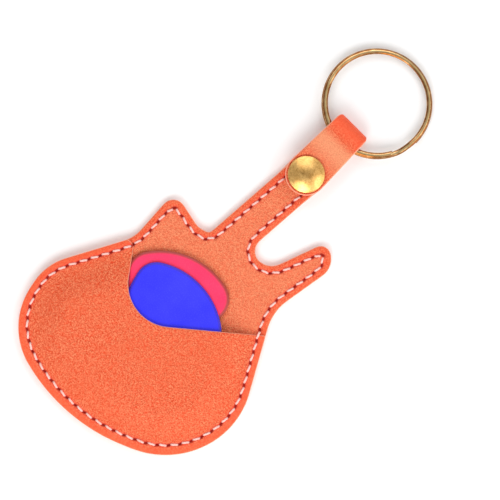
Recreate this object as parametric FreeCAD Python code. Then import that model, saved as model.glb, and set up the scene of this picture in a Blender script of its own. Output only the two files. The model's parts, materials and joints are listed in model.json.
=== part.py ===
"""Leather pick holder key ring in the shape of an electric guitar.

Millimetres. The holder lies on its back: +Z is up out of its front and +Y runs up the neck to the key
ring. The origin is on the back face, on the neck's centre line, in the middle of the body.
Three leather panels are sewn round the edge: the back, a lining and the pocket for the picks. The back's
neck runs on as a strap that folds over the key ring and snaps down on the front of the neck.
"""

import FreeCAD
import Part
import math
import os

V = FreeCAD.Vector
UP = V(0, 0, 1)

# Leather
LEATHER = 1.0
BACK_Z = 0.0
LINING_Z = BACK_Z + LEATHER
NECK_TOP_Z = LINING_Z + LEATHER
NECK_HALF = 5.3

# Strap: the back's neck goes on, folds over the ring and comes down to the snap
SNAP_Y = 52.7
STRAP_SKEW = 4.0
STRAP_HEAD_HALF = 5.7
STRAP_END_HALF = 5.1
TONGUE_Z = 5.1
FOLD_ALONG = 15.6
FOLD_Z = (BACK_Z + TONGUE_Z + LEATHER) / 2
FOLD_OUTER = FOLD_Z - BACK_Z
LINING_END_Y = 57.5

# Seam
SEAM_INSET = 2.05
SEAM_INSET_BASE = 2.7
SEAM_END_Y = 48.2
STITCH_PITCH = 3.1
STITCH_GAP = 0.5
THREAD_WIDTH = 0.6
THREAD_RISE = 0.35
GROOVE_HALF = 0.6
GROOVE_DEPTH = 0.5
BACK_THREAD_Z = 0.05

# Pocket
CROWN_START = 3.1
CROWN_TOP = 7.5
CROWN_RISE = 2.4

# Snap fastener, radii and heights
SHANK_R = 1.25
SHANK_HOLE_R = 1.3
POST_R = 1.45
POST_BORE_R = 1.05
POST_ROLL = 0.2
STUD_FOOT_R = 2.1
STUD_TOP_Z = 3.9
STUD_TOP_R = 2.0
WAIST_R = 1.85
WAIST_LOW_Z = 2.6
WAIST_HIGH_Z = 3.1
BULB_R = 2.15
BULB_Z = 3.45
CAP_R = 5.0
CAP_RISE = 1.6
CAP_ROLL = 0.45
FLANGE_R = 4.0
FLANGE_THICK = 0.4
SOCKET_R = 4.3
SOCKET_FOOT_Z = 2.5
SOCKET_ROOF_Z = TONGUE_Z - 0.3
SOCKET_BEVEL = 0.3
SOCKET_MOUTH_R = 2.45
SPRING_GROOVE_R = 2.8
SPRING_GROOVE_LOW_Z = SOCKET_FOOT_Z + 0.15
SPRING_GROOVE_HIGH_Z = SOCKET_FOOT_Z + 0.7
SPRING_WIRE_R = 0.25
SPRING_R = 2.15
SPRING_Z = 2.92
SPRING_OPENING = 50.0
FLARE_R = 1.8
FLARE_THICK = 0.2

# Split ring: two coils of flat wire, and the place where the wire steps from one to the other
RING_R = 15.0
WIRE_RADIAL = 1.5
WIRE_AXIAL = 0.95
COIL_GAP = 0.05
WIRE_ROUND = 0.3
RING_MID_R = RING_R - WIRE_RADIAL / 2
RING_ALONG = 13.05
RING_PIVOT_Z = FOLD_Z
RING_FLOOR_GAP = 0.03
STEP_START = -27.0
STEP_SWEEP = 25.0
STEP_SECTIONS = 7
COIL_END_GAP = 3.5

# Picks
PICK_WIDTH = 29.0
PICK_HEIGHT = 32.0
PICK_THICK = 0.8
PICK_EDGE = 0.2
PICK_TOP_R = 21.0
PICK_SHOULDER_R = 6.0
PICK_SIDE_R = 46.0
PICK_TIP_R = 3.2
BACK_PICK = {"top": (-3.6, 14.7), "turn": 25.0, "z": 2.5}
FRONT_PICK = {"top": (4.1, 11.7), "turn": 1.5, "z": 3.42}

# Corners are (x, y, fillet radius), anticlockwise from the front, and are joined by straight runs.
LEFT_HORN = [(-NECK_HALF, 22.6, 1.0), (-8.5, 21.4, 4.1), (-20.0, 23.0, 3.4)]
LOWER_BODY = [
    (-17.8, 6.5, 10.0),
    (-28.1, -16.4, 16.0),
    (-22.5, -35.6, 19.5),
    (7.6, -40.6, 52.0),
    (35.5, -25.9, 24.5),
    (39.6, -5.4, 22.5),
    (22.0, 21.6, 13.5),
]
RIGHT_HORN = [(23.9, 41.6, 5.4), (17.6, 45.6, 2.7), (12.7, 28.4, 5.0), (NECK_HALF, 27.2, 3.6)]
BODY = LEFT_HORN + LOWER_BODY + RIGHT_HORN
BASE_EDGES = (5, 6, 7)
MOUTH = [(-21.0, 4.8, 0), (-16.3, 5.2, 1.0), (-2.5, -11.0, 11.7), (27.5, 17.7, 0)]
POCKET_CLOSING = [(24.5, 50.0, 0), (-22.0, 40.0, 0)]


# ---------------------------------------------------------------- plane geometry


def strap_point(across, along, z=0.0):
    """A point in the strap's own axes, which turn by STRAP_SKEW about the snap."""
    a = math.radians(STRAP_SKEW)
    x = across * math.cos(a) - along * math.sin(a)
    y = SNAP_Y + across * math.sin(a) + along * math.cos(a)
    return V(x, y, z)


def strap_corner(across, along, radius):
    point = strap_point(across, along)
    return (point.x, point.y, radius)


def strap_half(along):
    """Half the strap's width at a distance from the snap: it narrows towards the fold."""
    return STRAP_HEAD_HALF + (STRAP_END_HALF - STRAP_HEAD_HALF) * along / (FOLD_ALONG + FOLD_OUTER)


def fillet(before, corner, after):
    """The two tangent points and the mid point of a corner's fillet, or None for a sharp corner."""
    x, y, radius = corner
    at = V(x, y, 0)
    to_before = (V(before[0], before[1], 0) - at).normalize()
    to_after = (V(after[0], after[1], 0) - at).normalize()
    half = to_before.getAngle(to_after) / 2
    if radius <= 0 or math.pi / 2 - half < 1e-4:
        return None
    reach = radius / math.tan(half)
    middle = (to_before + to_after).normalize() * (radius / math.sin(half) - radius)
    return at + to_before * reach, at + middle, at + to_after * reach


def path_edges(corners, closed=True):
    """Straight runs joined by fillets, as a list of edges."""
    count = len(corners)
    edges = []
    here = None
    first = None
    for i, corner in enumerate(corners):
        at = V(corner[0], corner[1], 0)
        inner = closed or 0 < i < count - 1
        arc = fillet(corners[i - 1], corner, corners[(i + 1) % count]) if inner else None
        start, end = (arc[0], arc[2]) if arc else (at, at)
        if here is not None and here.distanceToPoint(start) > 1e-6:
            edges.append(Part.LineSegment(here, start).toShape())
        if arc:
            edges.append(Part.Arc(*arc).toShape())
        first = start if first is None else first
        here = end
    if closed and here.distanceToPoint(first) > 1e-6:
        edges.append(Part.LineSegment(here, first).toShape())
    return edges


def path_wire(corners, z=0.0):
    wire = Part.Wire(path_edges(corners))
    wire.translate(UP * z)
    return wire


def inset(corners, distance, special=None):
    """The same outline moved inwards. special gives some edges another distance, by their first corner."""
    count = len(corners)
    special = special or {}
    points = [V(x, y, 0) for x, y, _ in corners]
    shift = [special.get(i, distance) for i in range(count)]
    moved = []
    for i in range(count):
        run_in = (points[i] - points[i - 1]).normalize()
        run_out = (points[(i + 1) % count] - points[i]).normalize()
        normal_in = V(-run_in.y, run_in.x, 0)
        normal_out = V(-run_out.y, run_out.x, 0)
        turn = run_in.x * run_out.y - run_in.y * run_out.x
        a = points[i] + normal_in * shift[i - 1]
        b = points[i] + normal_out * shift[i]
        along = ((b.x - a.x) * run_out.y - (b.y - a.y) * run_out.x) / turn
        corner = a + run_in * along
        mean = (shift[i - 1] + shift[i]) / 2
        radius = corners[i][2] - mean if turn > 0 else corners[i][2] + mean
        moved.append((corner.x, corner.y, max(radius, 0.4)))
    return moved


def plate(corners, z, thickness):
    return Part.Face(path_wire(corners, z)).extrude(UP * thickness)


def frustum(low, low_z, high, high_z):
    return Part.makeLoft([path_wire(low, low_z), path_wire(high, high_z)], True, True)


def turned(profile, centre, z=0.0):
    """A solid of revolution from (radius, height) points, standing on centre."""
    points = [V(r, 0, h + z) for r, h in profile]
    face = Part.Face(Part.makePolygon(points + points[:1]))
    solid = face.revolve(V(0, 0, 0), UP, 360)
    solid.translate(V(centre.x, centre.y, 0))
    return solid


SNAP = strap_point(0, 0)

# ---------------------------------------------------------------- outlines


def back_outline():
    """The guitar with the strap's lower half, up to where the fold starts."""
    head = [strap_corner(strap_half(0), 1.0, 8.0), strap_corner(strap_half(FOLD_ALONG), FOLD_ALONG, 0)]
    tail = [strap_corner(-strap_half(FOLD_ALONG), FOLD_ALONG, 0), strap_corner(-strap_half(0), 1.0, 8.0)]
    right_neck = [(NECK_HALF, SNAP_Y - 6, 6.0)]
    left_neck = [(-NECK_HALF, SNAP_Y - 6, 6.0)]
    return BODY + right_neck + head + tail + left_neck


def lining_outline():
    """The guitar with a neck that stops under the strap, just past the snap."""
    return BODY + [(NECK_HALF, LINING_END_Y, 3.0), (-NECK_HALF, LINING_END_Y, 3.0)]


def seam_outline():
    return inset(lining_outline(), SEAM_INSET, {i: SEAM_INSET_BASE for i in BASE_EDGES})


def seam_path():
    """The seam as an open path: down the neck's left edge, round the body and back up to the snap."""
    neck = NECK_HALF - SEAM_INSET
    round_body = seam_outline()[: len(BODY)]
    return [(-neck, SEAM_END_Y, 0)] + round_body + [(neck, SEAM_END_Y, 0)]


def under_mouth():
    """A tall block over everything that the pocket covers: below the mouth's edge."""
    reach = [(60.0, 17.7, 0), (60.0, -60.0, 0), (-60.0, -60.0, 0), (-60.0, 4.8, 0)]
    return plate(MOUTH + reach, -1.0, 20.0)


# ---------------------------------------------------------------- leather


def back_panel():
    seam = seam_outline()
    below_snap = Part.makeBox(200, 100 + SEAM_END_Y, GROOVE_DEPTH, V(-100, -100, BACK_Z))
    groove = plate(inset(seam, -GROOVE_HALF), BACK_Z, GROOVE_DEPTH).cut(
        plate(inset(seam, GROOVE_HALF), BACK_Z, GROOVE_DEPTH)
    )
    groove = groove.common(below_snap)
    flange_seat = Part.makeCylinder(FLANGE_R + 0.1, BACK_THREAD_Z + FLANGE_THICK, SNAP)
    post_hole = Part.makeCylinder(POST_R, LEATHER, SNAP)
    return plate(back_outline(), BACK_Z, LEATHER).cut([groove, flange_seat, post_hole])


def lining_panel():
    post_hole = Part.makeCylinder(POST_R, LEATHER, SNAP + UP * LINING_Z)
    return plate(lining_outline(), LINING_Z, LEATHER).cut(post_hole)


def pocket_panel():
    """A flat sewn rim, and a crown that stands off the lining and leaves room for the picks."""
    outline = LOWER_BODY + POCKET_CLOSING
    foot = inset(outline, CROWN_START)
    top = inset(outline, CROWN_TOP)
    rim_top = NECK_TOP_Z + LEATHER
    solid = plate(outline, NECK_TOP_Z, LEATHER)
    solid = solid.fuse(frustum(foot, rim_top, top, rim_top + CROWN_RISE))
    solid = solid.cut(frustum(foot, NECK_TOP_Z, top, NECK_TOP_Z + CROWN_RISE))
    return solid.common(under_mouth()).removeSplitter()


def strap_tongue():
    """The strap's upper half: a round head at the snap, and straight sides up to the fold."""
    end = strap_half(FOLD_ALONG)
    head = STRAP_HEAD_HALF
    points = [strap_point(-head, 0), strap_point(0, -head), strap_point(head, 0)]
    edges = [
        Part.Arc(*points).toShape(),
        Part.LineSegment(points[2], strap_point(end, FOLD_ALONG)).toShape(),
        Part.LineSegment(strap_point(end, FOLD_ALONG), strap_point(-end, FOLD_ALONG)).toShape(),
        Part.LineSegment(strap_point(-end, FOLD_ALONG), points[0]).toShape(),
    ]
    face = Part.Face(Part.Wire(edges))
    face.translate(UP * TONGUE_Z)
    hole = Part.makeCylinder(SHANK_HOLE_R, LEATHER, SNAP + UP * TONGUE_Z)
    return face.extrude(UP * LEATHER).cut(hole)


def strap_fold():
    """The half turn of the strap, as a half tube whose sides follow the strap's taper."""
    centre = strap_point(0, FOLD_ALONG, FOLD_Z)
    across = (strap_point(1, 0) - strap_point(0, 0)).normalize()
    half = strap_half(FOLD_ALONG)
    start = centre - across * half
    tube = Part.makeCylinder(FOLD_OUTER, 2 * half, start, across).cut(
        Part.makeCylinder(FOLD_OUTER - LEATHER, 2 * half, start, across)
    )
    end = FOLD_ALONG + FOLD_OUTER
    end_half = strap_half(end)
    outline = [(half, FOLD_ALONG), (end_half, end), (-end_half, end), (-half, FOLD_ALONG)]
    points = [strap_point(a, b, BACK_Z - 1) for a, b in outline]
    keep = Part.Face(Part.makePolygon(points + points[:1])).extrude(UP * 10)
    return tube.common(keep)


# ---------------------------------------------------------------- seam


def seam_stations():
    """Evenly spaced needle holes along the seam, as points on z 0."""
    wire = Part.Wire(path_edges(seam_path(), closed=False))
    count = round(wire.Length / STITCH_PITCH)
    return wire.discretize(Number=count + 1)


def stitch(start, end, z):
    """One stitch of thread between two needle holes: a flat bar with round ends."""
    run = end - start
    length = run.Length - STITCH_GAP - THREAD_WIDTH
    bar = Part.makeBox(length, THREAD_WIDTH, THREAD_RISE, V(-length / 2, -THREAD_WIDTH / 2, 0))
    for side in (-1, 1):
        bar = bar.fuse(Part.makeCylinder(THREAD_WIDTH / 2, THREAD_RISE, V(side * length / 2, 0, 0)))
    bar = bar.removeSplitter()
    bar.rotate(V(0, 0, 0), UP, math.degrees(math.atan2(run.y, run.x)))
    bar.translate((start + end) * 0.5 + UP * z)
    return bar


def stitches(height_at):
    holes = seam_stations()
    pairs = zip(holes, holes[1:])
    return Part.makeCompound([stitch(a, b, height_at((a + b) * 0.5)) for a, b in pairs])


def upper_thread():
    """Stitches on the front. They lie on the lining, or on the pocket's rim where the pocket covers it."""
    mouth_zone = under_mouth()

    def height_at(point):
        covered = mouth_zone.isInside(point + UP, 1e-6, True)
        return NECK_TOP_Z + LEATHER if covered else NECK_TOP_Z

    return stitches(height_at)


def bobbin_thread():
    """Stitches on the back, sunk in the back panel's groove so that the holder lies flat."""
    return stitches(lambda point: BACK_THREAD_Z)


# ---------------------------------------------------------------- snap fastener


def snap_post():
    """Flanged tube from the back, through both neck layers and the stud, rolled over on top."""
    foot = BACK_THREAD_Z
    seat = foot + FLANGE_THICK
    top = STUD_TOP_Z + POST_ROLL
    profile = [
        (POST_BORE_R, foot), (FLANGE_R, foot), (FLANGE_R, seat), (POST_R, seat),
        (POST_R, STUD_TOP_Z), (FLARE_R, STUD_TOP_Z), (FLARE_R, top), (POST_BORE_R, top),
    ]
    return turned(profile, SNAP)


def snap_stud():
    """Flange and bulb: the socket's spring grips the waist under the bulb."""
    foot = NECK_TOP_Z
    flange_r = FLANGE_R - 0.1
    flange_top = foot + FLANGE_THICK
    profile = [
        (POST_R, foot), (flange_r, foot), (flange_r, flange_top), (STUD_FOOT_R, flange_top),
        (WAIST_R, WAIST_LOW_Z), (WAIST_R, WAIST_HIGH_Z), (BULB_R, BULB_Z), (STUD_TOP_R, STUD_TOP_Z),
        (POST_R, STUD_TOP_Z),
    ]
    return turned(profile, SNAP)


def snap_socket():
    """Cup under the strap, with a groove for the spring and a hole that the cap's shank is riveted in."""
    floor, roof, top = SOCKET_FOOT_Z, SOCKET_ROOF_Z, TONGUE_Z
    bevel_r = SOCKET_R - SOCKET_BEVEL
    profile = [
        (SOCKET_MOUTH_R, floor), (bevel_r, floor), (SOCKET_R, floor + SOCKET_BEVEL),
        (SOCKET_R, top - SOCKET_BEVEL), (bevel_r, top), (SHANK_R, top), (SHANK_R, roof),
        (SOCKET_MOUTH_R, roof), (SOCKET_MOUTH_R, SPRING_GROOVE_HIGH_Z),
        (SPRING_GROOVE_R, SPRING_GROOVE_HIGH_Z), (SPRING_GROOVE_R, SPRING_GROOVE_LOW_Z),
        (SOCKET_MOUTH_R, SPRING_GROOVE_LOW_Z),
    ]
    return turned(profile, SNAP)


def snap_spring():
    """Open ring of wire in the socket's groove. It springs over the stud's bulb and sits round the waist."""
    circle = Part.Circle(V(SPRING_R, 0, SPRING_Z), V(0, 1, 0), SPRING_WIRE_R)
    section = Part.Face(Part.Wire(circle.toShape()))
    spring = section.revolve(V(0, 0, 0), UP, 360 - SPRING_OPENING)
    spring.translate(SNAP)
    return spring


def snap_cap():
    """Domed cap with a rolled rim, and the shank that goes through the strap and is flared in the socket."""
    foot = TONGUE_Z + LEATHER
    rim = CAP_R - CAP_ROLL
    rise = CAP_RISE - CAP_ROLL
    dome_r = (rim**2 + rise**2) / (2 * rise)
    half = math.asin(rim / dome_r) / 2
    apex = V(0, 0, foot + CAP_RISE)
    dome_mid = V(dome_r * math.sin(half), 0, apex.z - dome_r * (1 - math.cos(half)))
    rim_top = V(rim, 0, foot + CAP_ROLL)
    rim_side = V(CAP_R, 0, foot + 0.15)
    rim_mid = V(CAP_R - 0.14, 0, foot + 0.36)
    flare_foot = SOCKET_ROOF_Z - FLARE_THICK
    corners = [
        rim_side, V(CAP_R - 0.15, 0, foot), V(SHANK_R, 0, foot), V(SHANK_R, 0, SOCKET_ROOF_Z),
        V(FLARE_R, 0, SOCKET_ROOF_Z), V(FLARE_R, 0, flare_foot), V(0, 0, flare_foot), apex,
    ]
    edges = [Part.LineSegment(a, b).toShape() for a, b in zip(corners, corners[1:])]
    edges.append(Part.Arc(apex, dome_mid, rim_top).toShape())
    edges.append(Part.Arc(rim_top, rim_mid, rim_side).toShape())
    cap = Part.Face(Part.Wire(Part.__sortEdges__(edges))).revolve(V(0, 0, 0), UP, 360)
    cap.translate(SNAP)
    return cap


# ---------------------------------------------------------------- split ring


def wire_section(angle, z):
    """The wire's rounded section, standing across the coil at an angle round the ring."""
    half_r, half_z, r = WIRE_RADIAL / 2, WIRE_AXIAL / 2, WIRE_ROUND
    corners = [(-half_r, -half_z, r), (half_r, -half_z, r), (half_r, half_z, r), (-half_r, half_z, r)]
    wire = Part.Wire(path_edges(corners))
    wire.rotate(V(0, 0, 0), V(1, 0, 0), 90)
    wire.translate(V(RING_MID_R, 0, z))
    wire.rotate(V(0, 0, 0), UP, angle)
    return wire


def split_ring():
    """Lower coil, the step up, and the upper coil. Turned and tilted so that its far side meets the table."""
    high = (WIRE_AXIAL + COIL_GAP) / 2
    sweep = 360 - STEP_SWEEP - COIL_END_GAP
    step_end = STEP_START + STEP_SWEEP
    lower = Part.Face(wire_section(STEP_START - sweep, -high)).revolve(V(0, 0, 0), UP, sweep)
    upper = Part.Face(wire_section(step_end, high)).revolve(V(0, 0, 0), UP, sweep)
    sections = []
    for i in range(STEP_SECTIONS):
        share = i / (STEP_SECTIONS - 1)
        ease = share * share * (3 - 2 * share)
        sections.append(wire_section(STEP_START + STEP_SWEEP * share, high * (2 * ease - 1)))
    step = Part.makeLoft(sections, True, False)
    ring = lower.fuse([step, upper]).removeSplitter()
    return place_ring(ring)


def ring_tilt():
    """How far the ring leans, in degrees, so that its far edge just clears the table."""
    thickness_half = WIRE_AXIAL + COIL_GAP / 2
    drop = RING_PIVOT_Z - thickness_half - RING_FLOOR_GAP
    return math.degrees(math.asin(drop / (RING_MID_R + RING_R)))


def place_ring(ring):
    ring.translate(V(0, RING_MID_R, 0))
    ring.rotate(V(0, 0, 0), V(1, 0, 0), -ring_tilt())
    ring.rotate(V(0, 0, 0), UP, STRAP_SKEW)
    ring.translate(strap_point(0, RING_ALONG, RING_PIVOT_Z))
    return ring


# ---------------------------------------------------------------- picks


def out_from(centre, towards, distance):
    """The point at a distance from centre, on the line towards another point."""
    return centre + (towards - centre).normalize() * distance


def side_arc_centre(shoulder, tip, side):
    """Centre of the side arc that holds both the shoulder's and the tip's circle inside it."""
    to_shoulder = PICK_SIDE_R - PICK_SHOULDER_R
    to_tip = PICK_SIDE_R - PICK_TIP_R
    apart = shoulder.distanceToPoint(tip)
    along = (to_tip**2 - to_shoulder**2 + apart**2) / (2 * apart)
    off = math.sqrt(to_tip**2 - along**2)
    run = (shoulder - tip).normalize()
    return tip + run * along + V(-run.y, run.x, 0) * off * side


def pick_wire(shrink):
    """A rounded triangle of tangent arcs, its top at the origin and its tip down -Y, drawn in by shrink."""
    top_centre = V(0, -PICK_TOP_R, 0)
    tip = V(0, PICK_TIP_R - PICK_HEIGHT, 0)
    shoulder_x = PICK_WIDTH / 2 - PICK_SHOULDER_R
    shoulder_y = math.sqrt((PICK_TOP_R - PICK_SHOULDER_R) ** 2 - shoulder_x**2) - PICK_TOP_R
    shoulder_r = PICK_SHOULDER_R - shrink
    tops, tips, edges = [], [], []
    for side in (1, -1):
        shoulder = V(side * shoulder_x, shoulder_y, 0)
        side_centre = side_arc_centre(shoulder, tip, side)
        top_end = out_from(shoulder, top_centre, -shoulder_r)
        side_start = out_from(shoulder, side_centre, -shoulder_r)
        side_end = out_from(tip, side_centre, shrink - PICK_TIP_R)
        corner = out_from(shoulder, (top_end + side_start) * 0.5, shoulder_r)
        bulge = out_from(side_centre, (side_start + side_end) * 0.5, PICK_SIDE_R - shrink)
        edges.append(Part.Arc(top_end, corner, side_start).toShape())
        edges.append(Part.Arc(side_start, bulge, side_end).toShape())
        tops.append(top_end)
        tips.append(side_end)
    edges.append(Part.Arc(tops[0], V(0, -shrink, 0), tops[1]).toShape())
    edges.append(Part.Arc(tips[0], V(0, shrink - PICK_HEIGHT, 0), tips[1]).toShape())
    return Part.Wire(Part.__sortEdges__(edges))


def pick(place):
    """A flat pick with a bevel all round both faces."""
    full, drawn_in = pick_wire(0), pick_wire(PICK_EDGE)
    levels = [(drawn_in, 0), (full, PICK_EDGE), (full, PICK_THICK - PICK_EDGE), (drawn_in, PICK_THICK)]
    wires = []
    for wire, z in levels:
        copy = wire.copy()
        copy.translate(UP * z)
        wires.append(copy)
    solid = Part.makeLoft(wires, True, True)
    solid.rotate(V(0, 0, 0), UP, place["turn"])
    solid.translate(V(place["top"][0], place["top"][1], place["z"]))
    return solid


# ---------------------------------------------------------------- build

PARTS = {
    "back_panel": back_panel,
    "lining_panel": lining_panel,
    "pocket_panel": pocket_panel,
    "strap_tongue": strap_tongue,
    "strap_fold": strap_fold,
    "upper_thread": upper_thread,
    "bobbin_thread": bobbin_thread,
    "snap_post": snap_post,
    "snap_stud": snap_stud,
    "snap_socket": snap_socket,
    "snap_spring": snap_spring,
    "snap_cap": snap_cap,
    "split_ring": split_ring,
    "back_pick": lambda: pick(BACK_PICK),
    "front_pick": lambda: pick(FRONT_PICK),
}


def main():
    os.makedirs("parts", exist_ok=True)
    for name, make in PARTS.items():
        shape = make()
        print(f"{name}: {len(shape.Solids)} solids, {shape.Volume:.1f} mm3, valid {shape.isValid()}")
        shape.exportStep(f"parts/{name}.step")
    print("fold axis at", strap_point(0, FOLD_ALONG, FOLD_Z))
    print("ring pivot at", strap_point(0, RING_ALONG, RING_PIVOT_Z))
    print("both along", strap_point(1, 0) - strap_point(0, 0), "ring tilt", ring_tilt())


main()
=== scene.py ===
import json
import math

import bpy
import numpy as np
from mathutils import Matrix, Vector, noise
from mathutils.geometry import delaunay_2d_cdt
from mathutils.kdtree import KDTree


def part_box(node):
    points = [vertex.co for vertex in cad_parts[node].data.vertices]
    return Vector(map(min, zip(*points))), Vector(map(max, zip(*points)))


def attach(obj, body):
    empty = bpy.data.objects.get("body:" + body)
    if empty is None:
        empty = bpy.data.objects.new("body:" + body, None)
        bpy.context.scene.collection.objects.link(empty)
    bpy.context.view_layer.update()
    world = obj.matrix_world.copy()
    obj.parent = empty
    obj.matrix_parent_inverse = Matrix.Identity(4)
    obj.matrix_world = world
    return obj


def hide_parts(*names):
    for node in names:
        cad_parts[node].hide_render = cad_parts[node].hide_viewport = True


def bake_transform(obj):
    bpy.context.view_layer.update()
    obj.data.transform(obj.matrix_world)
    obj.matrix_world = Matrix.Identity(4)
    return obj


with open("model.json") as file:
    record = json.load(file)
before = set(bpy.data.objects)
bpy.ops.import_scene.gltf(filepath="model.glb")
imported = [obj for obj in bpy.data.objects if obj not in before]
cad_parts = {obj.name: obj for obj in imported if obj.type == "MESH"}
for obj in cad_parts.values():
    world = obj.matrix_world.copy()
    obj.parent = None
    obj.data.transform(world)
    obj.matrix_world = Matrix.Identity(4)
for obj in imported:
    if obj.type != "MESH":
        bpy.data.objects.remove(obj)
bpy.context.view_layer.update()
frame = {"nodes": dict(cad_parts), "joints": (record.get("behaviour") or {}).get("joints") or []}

# The looks of the leather pick holder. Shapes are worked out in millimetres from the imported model, in its own
# frame: +Z out of the front, +Y up the neck to the key ring. They turn into metres when a mesh is made.

MM = 0.001

# Mesh steps and sizes in millimetres, and angles in degrees.
OUTLINE_STEP = 0.35
FINE_STEP = 0.24
COARSE_STEP = 0.75
FINE_REACH = 1.05
EDGE_ROUND = 0.3
EDGE_ANGLES = (0, 22.5, 45, 67.5, 90)

GROOVE_SINK = 0.13
GROOVE_WIDTH = 0.42
HOLE_SINK = 0.5
HOLE_HALF_LENGTH = 0.76
HOLE_HALF_WIDTH = 0.37
HOLE_SKEW = 14.0
HOLE_REACH = 1.0
HOLE_STEP = 0.15
CROWN_FROM = 2.3
CROWN_TO = 12.5

STRAP_EDGE_ROUND = 0.42
FOLD_CORNER = 0.55

THREAD_R = 0.27
BOBBIN_R = 0.2
THREAD_SLANT = 0.17
THREAD_START = 0.66
STITCH_RINGS = 20
STITCH_SIDES = 12

POST_BORE_R = 1.05
POST_R = 1.45
POST_ROLL_R = 1.8
STUD_WAIST_R = 1.85
STUD_BULB_R = 2.15
SOCKET_MOUTH_R = 2.45
SOCKET_GROOVE_R = 2.8
RIVET_R = 1.25
TURNED_SIDES = 96
CORNER_STEPS = 5

COIL_OFFSET = 0.1
COIL_END_GAP = 3.5
RING_STEPS = 420
WIRE_SIDES = 28

PICK_BEVEL = 1.1
PICK_FALL = 0.3
# Each pick's two body colours, and the rim colour painted on its bevel as shade.
BLUE = (0.035, 0.036, 0.97), (0.05, 0.052, 1.0), (0.045, 0.03, 0.5)
PINK = (0.95, 0.04, 0.125), (1.0, 0.055, 0.15), (0.33, 0.055, 0.04)


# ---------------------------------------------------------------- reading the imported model


def cad_triangles(node):
    """A node's vertices in millimetres, merged where they meet, and its triangles."""
    mesh = frame["nodes"][node].data
    mesh.calc_loop_triangles()
    points = np.array([v.co for v in mesh.vertices]) / MM
    merged, index = np.unique(np.round(points, 4), axis=0, return_inverse=True)
    corners = np.array([t.vertices for t in mesh.loop_triangles])
    return merged, index.ravel()[corners]


def upper_outlines(node):
    """The outlines of a node's upward faces seen from above, anticlockwise, longest first."""
    points, triangles = cad_triangles(node)
    a, b, c = (points[triangles[:, i]] for i in range(3))
    normal = np.cross(b - a, c - a)
    upward = triangles[normal[:, 2] > 0.05 * np.linalg.norm(normal, axis=1)]
    edges = {(int(t[i]), int(t[(i + 1) % 3])) for t in upward for i in range(3)}
    follow = {p: q for p, q in edges if (q, p) not in edges}
    loops = []
    while follow:
        start, here = follow.popitem()
        loop = [start]
        while here != start:
            loop.append(here)
            here = follow.pop(here)
        loops.append(points[loop][:, :2])
    return sorted(loops, key=lambda loop: -run_lengths(loop)[-1])


def box_mm(node):
    low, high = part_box(node)
    return np.array(low) / MM, np.array(high) / MM


def stitch_bars(node):
    """Each stitch of a thread node as (one end, other end, lowest z), in order along the seam."""
    points, triangles = cad_triangles(node)
    group = list(range(len(points)))

    def root(i):
        while group[i] != i:
            group[i] = group[group[i]]
            i = group[i]
        return i

    for t in triangles:
        group[root(int(t[1]))] = root(int(t[0]))
        group[root(int(t[2]))] = root(int(t[0]))
    members = {}
    for t in triangles:
        for i in t:
            members.setdefault(root(int(i)), set()).add(int(i))
    bars = []
    for indices in members.values():
        bar = points[sorted(indices)]
        middle = (bar.min(0) + bar.max(0)) / 2
        flat = bar[:, :2] - middle[:2]
        direction = np.linalg.svd(flat, full_matrices=False)[2][0]
        half = np.abs(flat @ direction).max()
        bars.append((middle[:2] - direction * half, middle[:2] + direction * half, bar[:, 2].min()))
    for i, (start, end, z) in enumerate(bars):
        before, after = bars[max(i - 1, 0)], bars[min(i + 1, len(bars) - 1)]
        course = (after[0] + after[1]) - (before[0] + before[1])
        if (end - start) @ course < 0:
            bars[i] = (end, start, z)
    return bars


def needle_holes(bars):
    """The holes between the stitches, and one at each end of the seam."""
    between = [(a[1] + b[0]) / 2 for a, b in zip(bars, bars[1:])]
    gap = np.linalg.norm(bars[1][0] - bars[0][1]) / 2
    first, last = bars[0], bars[-1]
    lead = (first[0] - first[1]) / np.linalg.norm(first[0] - first[1]) * gap
    tail = (last[1] - last[0]) / np.linalg.norm(last[1] - last[0]) * gap
    return np.array([first[0] + lead] + between + [last[1] + tail])


# ---------------------------------------------------------------- plane geometry


def run_lengths(loop):
    """Distance along a closed line at each of its points, and at its end."""
    closed = np.vstack([loop, loop[:1]])
    return np.concatenate([[0], np.cumsum(np.linalg.norm(np.diff(closed, axis=0), axis=1))])


def resample(loop, step):
    closed = np.vstack([loop, loop[:1]])
    run = run_lengths(loop)
    count = max(round(run[-1] / step), 8)
    at = np.arange(count) * run[-1] / count
    return np.stack([np.interp(at, run, closed[:, i]) for i in range(2)], -1)


def resample_open(line, step):
    run = np.concatenate([[0], np.cumsum(np.linalg.norm(np.diff(line, axis=0), axis=1))])
    at = np.linspace(0, run[-1], round(run[-1] / step))
    return np.stack([np.interp(at, run, line[:, i]) for i in range(2)], -1)


def soften(loop, passes=4):
    """A closed line with its sharp corners eased."""
    for _ in range(passes):
        loop = (np.roll(loop, 1, 0) + 2 * loop + np.roll(loop, -1, 0)) / 4
    return loop


def outward(loop):
    """Unit normals that point out of an anticlockwise loop."""
    course = np.roll(loop, -1, 0) - np.roll(loop, 1, 0)
    course /= np.linalg.norm(course, axis=1)[:, None]
    return np.stack([course[:, 1], -course[:, 0]], -1)


def nearest(points, centres):
    """Index of the nearest centre to each point."""
    tree = KDTree(len(centres))
    for i, centre in enumerate(centres):
        tree.insert((*centre, 0.0), i)
    tree.balance()
    return np.array([tree.find((x, y, 0.0))[1] for x, y in points[:, :2].tolist()])


def point_distance(points, centres):
    return np.linalg.norm(points[:, :2] - centres[nearest(points, centres)], axis=1)


def line_distance(points, line, closed=True):
    """Distance of each point from a finely divided line."""
    at = nearest(points, line)
    if closed:
        ends = (at - 1) % len(line), (at + 1) % len(line)
    else:
        ends = np.maximum(at - 1, 0), np.minimum(at + 1, len(line) - 1)
    found = []
    for end in ends:
        away = points[:, :2] - line[at]
        run = line[end] - line[at]
        share = np.clip((away * run).sum(1) / ((run**2).sum(1) + 1e-12), 0, 1)
        found.append(np.linalg.norm(away - share[:, None] * run, axis=1))
    return np.minimum(*found)


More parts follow.
